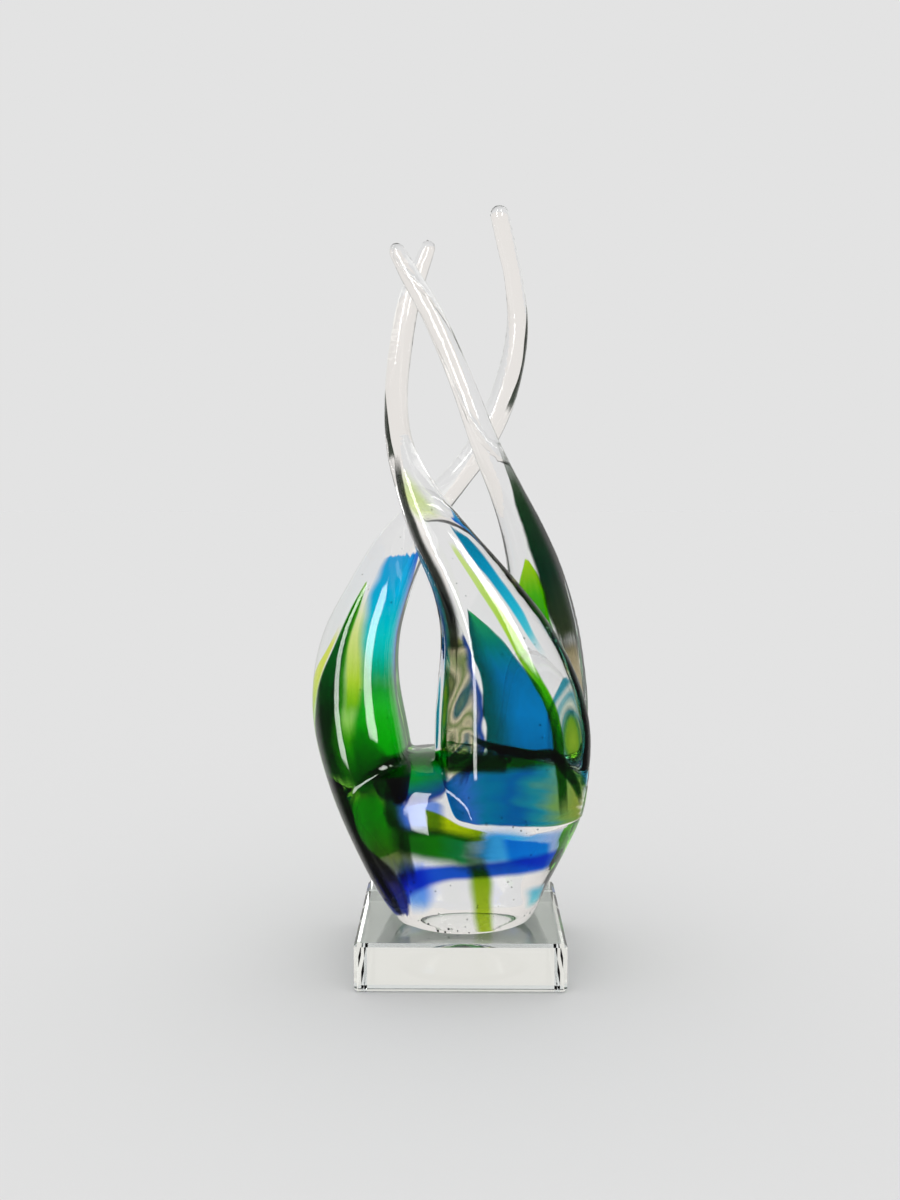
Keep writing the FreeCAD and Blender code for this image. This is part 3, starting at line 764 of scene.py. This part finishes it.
def node(tree, kind, settings, values, output=0):
    """One node, with its settings made first and then its sockets, as a value."""
    made = tree.nodes.new("ShaderNode" + kind)
    for name, setting in settings.items():
        if name == "stops":
            ramp = made.color_ramp
            while len(ramp.elements) < len(setting):
                ramp.elements.new(1.0)
            for element, (place, colour) in zip(ramp.elements, setting):
                element.position = place
                element.color = (*colour, 1.0)
        else:
            setattr(made, name, setting)
    items = values.items() if isinstance(values, dict) else enumerate(values)
    for name, value in items:
        if isinstance(value, Value):
            tree.links.new(value.socket, made.inputs[name])
        else:
            made.inputs[name].default_value = value
    return Value(tree, made.outputs[output])


def parts_of(tree, vector):
    parts = tree.nodes.new("ShaderNodeSeparateXYZ")
    tree.links.new(vector.socket, parts.inputs[0])
    return [Value(tree, part) for part in parts.outputs]


def mix_colours(tree, mask, first, last):
    """The first colour where the mask is 0 and the last where it is 1."""
    made = tree.nodes.new("ShaderNodeMix")
    made.data_type = "RGBA"
    for name, value in (("Factor_Float", mask), ("A_Color", first), ("B_Color", last)):
        socket = next(s for s in made.inputs if s.identifier == name)
        if isinstance(value, Value):
            tree.links.new(value.socket, socket)
        else:
            socket.default_value = (*value, 1.0)
    return Value(tree, next(s for s in made.outputs if s.identifier == "Result_Color"))


def new_finish(name):
    finish = bpy.data.materials.new(name)
    finish.use_nodes = True
    finish.node_tree.nodes.clear()
    return finish


def surface(finish, values):
    tree = finish.node_tree
    shader = node(tree, "BsdfPrincipled", {}, values)
    out = tree.nodes.new("ShaderNodeOutputMaterial")
    tree.links.new(shader.socket, out.inputs["Surface"])
    return finish


def glass(finish, tint, index, **others):
    """Polished glass of a tint, which is a colour or a value, that bends light by the index."""
    colour = tint if isinstance(tint, Value) else (*tint, 1)
    return surface(finish, {
        "Base Color": colour, "Roughness": 0.0, "Transmission Weight": 1.0, "IOR": index, **others,
    })


def clear_glass():
    """Clear glass with the faint ripple of a fire-polished skin."""
    finish = new_finish("clear_glass")
    tree = finish.node_tree
    where = node(tree, "TexCoord", {}, {}, OBJECT_PLACE)
    ripple = node(tree, "TexNoise", {}, {
        "Vector": where, "Scale": RIPPLE_SCALE, "Detail": 1.0, "Roughness": 0.4,
    })
    bump = node(tree, "Bump", {}, {
        "Height": ripple, "Strength": RIPPLE_STRENGTH, "Distance": RIPPLE_HEIGHT,
    })
    return glass(finish, WHITE, GLASS_INDEX, Normal=bump)


def veil_glass(name, fades, extra, stops):
    """Coloured glass that fades out to its rims, with fine streaks along it."""
    finish = new_finish(name)
    tree = finish.node_tree
    place = node(tree, "UVMap", {}, {})
    across, along, _ = parts_of(tree, place)
    where = node(tree, "TexCoord", {}, {}, OBJECT_PLACE)
    cloud = node(tree, "TexNoise", {}, {"Vector": where, "Scale": CLOUD_SCALE, "Detail": 2.0}) - 0.5
    stretched = node(tree, "Mapping", {}, {"Vector": place, "Scale": STREAK_SCALE})
    streaks = node(tree, "TexNoise", {}, {"Vector": stretched, "Scale": 1.0, "Detail": 3.0}) - 0.5
    first, last, start, end = fades
    side = across + cloud * SIDE_WAVES
    length = along + streaks * END_STREAKS + cloud * END_WAVES
    mask = (side.between(0.0, first) * (1 - side.between(1 - last, 1.0))
            * length.between(0.0, start) * (1 - length.between(1 - end, 1.0)))
    kind = extra[0] if extra else "plain"
    if kind == "swirl":
        swirls = node(tree, "TexNoise", {}, {
            "Vector": where, "Scale": CLOUD_SCALE, "Detail": 0.0, "Distortion": SWIRL_TWIST,
        })
        share = (swirls - SWIRL_LOW) * 2.0
    elif kind == "rings":
        away = (across - 0.5) * (across - 0.5) + (along - 0.5) * (along - 0.5)
        share = away.power(0.5) * 2.0 + cloud * RING_WAVES
    elif kind == "cloudy":
        share = along + streaks * COLOUR_STREAKS + cloud * extra[1]
    else:
        share = along + streaks * COLOUR_STREAKS
    colour = node(tree, "ValToRGB", {"stops": stops}, [share])
    if kind in ("edge", "swirl"):
        colour = mix_colours(tree, side.between(*extra[2:]), colour, extra[1])
    return glass(finish, mix_colours(tree, mask, WHITE, colour), WITHIN_GLASS)


def veil(name, home, depth, thickness, rows):
    """A flat lens of coloured glass under the skin: each row gives the places of its two edges."""
    form = bmesh.new()
    loops = []
    places = {}
    for k in range(VEIL_RINGS):
        share = k / (VEIL_RINGS - 1)
        row = row_at(rows, share * (len(rows) - 1))
        swell = math.sqrt(max(1 - (2 * share - 1) ** 2, VEIL_END))
        ring = []
        for n in range(VEIL_POINTS):
            turn = 2 * math.pi * n / VEIL_POINTS
            side = 0.5 + math.cos(turn) / 2
            position = row[0] + (row[2] - row[0]) * side
            angle = row[1] + (row[3] - row[1]) * side
            lift = math.sin(turn) * thickness * swell
            point = home.level(position).inside(angle, depth + lift)
            ring.append(point)
            places[tuple(round(c, 6) for c in point)] = (side, share)
        loops.append(ring)
    tube(form, loops)
    piece = finished(name, form)
    layer = piece.data.uv_layers.new(name="UVMap")
    for corner in piece.data.loops:
        spot = piece.data.vertices[corner.vertex_index].co
        layer.data[corner.index].uv = places[tuple(round(c, 6) for c in spot)]
    return piece


# The clear glass: body and arms joined in one skin, and seated in the block
homes = {
    "left": Arm(LEFT_ROWS, LEFT_SIZES, LEFT_CORNERS),
    "front": Arm(FRONT_ROWS, FRONT_SIZES, FRONT_CORNERS),
    "right": Arm(RIGHT_ROWS, RIGHT_SIZES, RIGHT_CORNERS),
    "body": Body(),
}
skin_form = bmesh.new()
for home in homes.values():
    tube(skin_form, home.rings())
skin = finished("sculpture_glass", skin_form)
remesh = skin.modifiers.new("one gather", "REMESH")
remesh.mode = "VOXEL"
remesh.voxel_size = REMESH_SIZE
remesh.adaptivity = 0.0
smooth = skin.modifiers.new("fire polish", "SMOOTH")
smooth.factor = POLISH
smooth.iterations = POLISH_STEPS
keep_modifiers(skin)
for vert in skin.data.vertices:
    vert.co.z -= SEAT_STRETCH * max(FOOT_LEVEL + SEAT_HEIGHT - vert.co.z, 0.0)
skin.data.materials.clear()
skin.data.materials.append(clear_glass())
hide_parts("body", "left_arm", "front_arm", "right_arm")
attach(skin, "root")

# The coloured glass, and the dark veils and threads of painted shade
for name, (home, depth, thickness, fades, rows) in RIBBONS.items():
    slot, extra, stops = TINTS[name]
    piece = veil(name + "_glass", homes[home], depth, thickness, rows)
    piece.data.materials.append(veil_glass(name, fades, extra, stops))
    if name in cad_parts:
        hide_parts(name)
    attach(piece, "root")

top = homes["body"].level(len(BODY_ROWS) - 1).inside(0, 0)
pool_place = top - Vector((0, 0, POOL_SIZE[2] * 2))
pool_form = bmesh.new()
bmesh.ops.create_uvsphere(
    pool_form, u_segments=48, v_segments=12, radius=1.0,
    matrix=Matrix.Translation(pool_place) @ Matrix.Diagonal((*POOL_SIZE, 1.0)),
)
pool = finished("green_pool", pool_form)
pool.data.materials.append(glass(new_finish("green_pool"), POOL_TINT, WITHIN_GLASS))
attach(pool, "root")

# Seed bubbles and dark specks
draw = random.Random(BUBBLE_SEED)
bubble_form = bmesh.new()
for name, count in BUBBLES.items():
    home = homes[name]
    for _ in range(count):
        level = home.level((len(home.rows) - 1) * draw.uniform(*BUBBLE_LEVELS))
        place = level.inside(draw.uniform(*BUBBLE_ANGLES), draw.uniform(*BUBBLE_DEPTHS))
        bmesh.ops.create_icosphere(
            bubble_form, subdivisions=2, radius=draw.uniform(*BUBBLE_RADII), matrix=Matrix.Translation(place),
        )
bubbles = finished("seed_bubbles", bubble_form, inwards=True)
bubbles.data.materials.append(glass(new_finish("air_in_glass"), WHITE, GLASS_INDEX))
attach(bubbles, "root")

speck_form = bmesh.new()
for position, angle, radius in SPECKS:
    place = homes["body"].level(position).inside(angle, SPECK_DEPTH)
    bmesh.ops.create_icosphere(speck_form, subdivisions=2, radius=radius, matrix=Matrix.Translation(place))
specks = finished("dark_specks", speck_form)
specks.data.materials.append(surface(new_finish("dark_speck"), {
    "Base Color": (*SPECK_TINT, 1), "Roughness": SPECK_ROUGHNESS,
}))
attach(specks, "root")

# The block, and the bond that holds the glass on it
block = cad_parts["crystal_block"]
block.data.materials.clear()
block.data.materials.append(glass(new_finish("crystal"), CRYSTAL_TINT, GLASS_INDEX))

bond_form = bmesh.new()
bmesh.ops.create_cone(
    bond_form, cap_ends=True, segments=96, radius1=BOND_RADIUS, radius2=BOND_RADIUS,
    depth=BOND_TOP - BOND_BOTTOM,
)
bmesh.ops.translate(bond_form, verts=bond_form.verts, vec=(BODY_SHIFT, 0, (BOND_TOP + BOND_BOTTOM) / 2))
bond = finished("bond", bond_form)
bond.data.shade_flat()
bond.data.materials.append(glass(new_finish("adhesive"), WHITE, WITHIN_GLASS))
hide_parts("adhesive_film")
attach(bond, "root")

# The floor, which glass doesn't mirror
floor_form = bmesh.new()
bmesh.ops.create_grid(floor_form, x_segments=1, y_segments=1, size=FLOOR_SIZE)
bmesh.ops.translate(floor_form, verts=floor_form.verts, vec=(0, 0, FLOOR_LEVEL))
floor = finished("floor", floor_form)
floor.data.materials.append(surface(new_finish("floor"), {
    "Base Color": (*BACKDROP, 1), "Roughness": FLOOR_ROUGHNESS, "Specular IOR Level": 0.0,
}))
floor.visible_glossy = False

# The studio: plain white light, a plain backdrop for the camera, and flags and soft boxes for glass
world = bpy.data.worlds.new("studio")
bpy.context.scene.world = world
world.use_nodes = True
tree = world.node_tree
tree.nodes.clear()
direction = node(tree, "TexCoord", {}, {}, 0)
dx, dy, dz = parts_of(tree, direction)
bearing = node(tree, "Math", {"operation": "ARCTAN2"}, [dx.size(), dy]) * (180 / math.pi)
signed = node(tree, "Math", {"operation": "ARCTAN2"}, [dx, dy]) * (180 / math.pi)


def softbox(low, high, bottom, top):
    """1 in a soft box between two angles and two heights."""
    side, end = SOFTBOX_SIDE_EDGE, SOFTBOX_END_EDGE
    return (signed.between(low - side, low + side) * (1 - signed.between(high - side, high + side))
            * dz.between(bottom - end, bottom + end) * (1 - dz.between(top - end, top + end)))


flags = bearing.between(*FLAG_START) * (1 - bearing.between(*FLAG_END)) * (1 - dz.between(*FLAG_TOP))
boxes = softbox(*LEFT_SOFTBOX).most(softbox(*RIGHT_SOFTBOX))
dark = mix_colours(tree, dx.between(*TO_RIGHT), LEFT_FLAG, RIGHT_FLAG)
seen_through = mix_colours(tree, bearing.between(*TO_FRONT), BEHIND, IN_FRONT)
seen_through = mix_colours(tree, flags, seen_through, dark)
seen_through = mix_colours(tree, boxes, seen_through, SOFTBOX_THROUGH)
low_wall = (dz.between(*LOW_WALL_BOTTOM) * (1 - dz.between(*LOW_WALL_TOP))
            * dy.between(*LOW_WALL_SIDES))
mirrored = mix_colours(tree, dy.between(*ROOM_TURN), ROOM_FRONT, ROOM_BACK)
mirrored = mix_colours(tree, low_wall, mirrored, LOW_WALL)
mirrored = mix_colours(tree, boxes, mirrored, SOFTBOX_MIRRORED)
path = tree.nodes.new("ShaderNodeLightPath")
through = Value(tree, path.outputs["Is Transmission Ray"])
in_glass = Value(tree, path.outputs["Is Glossy Ray"]).most(through)
from_floor = Value(tree, path.outputs["Diffuse Depth"]).between(*OFF_FLOOR)
around = mix_colours(tree, through, mirrored, seen_through)
plain = mix_colours(tree, Value(tree, path.outputs["Is Camera Ray"]), WHITE, BACKDROP)
shown = mix_colours(tree, in_glass * (1 - from_floor), plain, around)
light = node(tree, "Background", {}, {"Color": shown, "Strength": 1.0})
out = tree.nodes.new("ShaderNodeOutputWorld")
tree.links.new(light.socket, out.inputs["Surface"])

camera = bpy.data.objects.new("camera", bpy.data.cameras.new("camera"))
camera.data.sensor_width = SENSOR
camera.data.lens = SENSOR * FOCAL_LENGTH / PICTURE_HEIGHT
camera.data.clip_start = CAMERA_NEAR
camera.location = CAMERA_PLACE
camera.rotation_euler = (math.pi / 2 - CAMERA_TILT, 0.0, CAMERA_TURN)
bpy.context.scene.collection.objects.link(camera)
bpy.context.scene.camera = camera

scene = bpy.context.scene
scene.view_settings.view_transform = "Standard"
scene.cycles.max_bounces = LIGHT_BOUNCES
scene.cycles.transmission_bounces = LIGHT_BOUNCES
scene.cycles.transparent_max_bounces = LIGHT_BOUNCES
